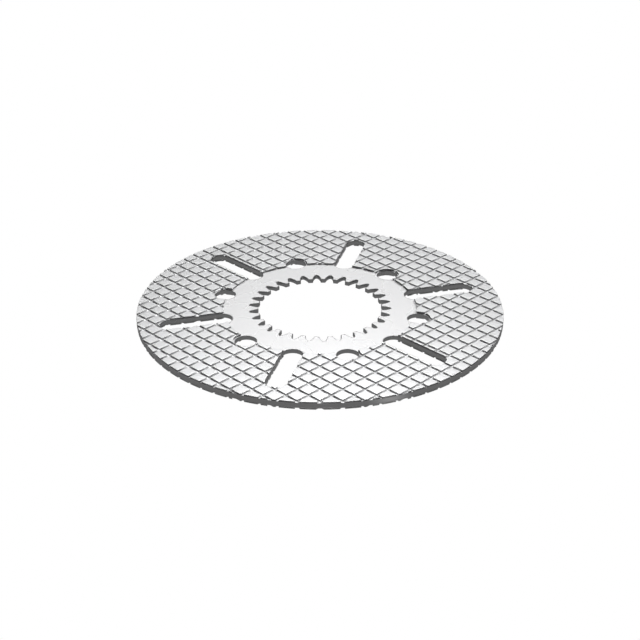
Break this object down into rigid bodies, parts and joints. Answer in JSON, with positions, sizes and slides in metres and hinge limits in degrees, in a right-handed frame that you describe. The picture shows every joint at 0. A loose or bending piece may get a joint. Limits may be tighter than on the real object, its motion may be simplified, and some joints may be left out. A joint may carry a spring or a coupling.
{
  "type": "friction disc",
  "caption": "Flat round brake friction disc: steel core plate with a toothed bore, slots and oil holes, and a grooved waffle lining bonded on each face.",
  "frame": {"origin": "on the disc's axis, half way through its thickness", "axes": "+Z along the axis, out of the upper friction face; +X along the middle line of one of the slots"},
  "size_m": [0.334, 0.334, 0.0072],
  "materials": {
    "steel": "ground steel plate",
    "friction_lining": "sintered metal friction lining, light grey"
  },
  "bodies": {
    "root": {"core_plate": "steel", "upper_lining": "friction_lining", "lower_lining": "friction_lining"}
  },
  "joints": []
}
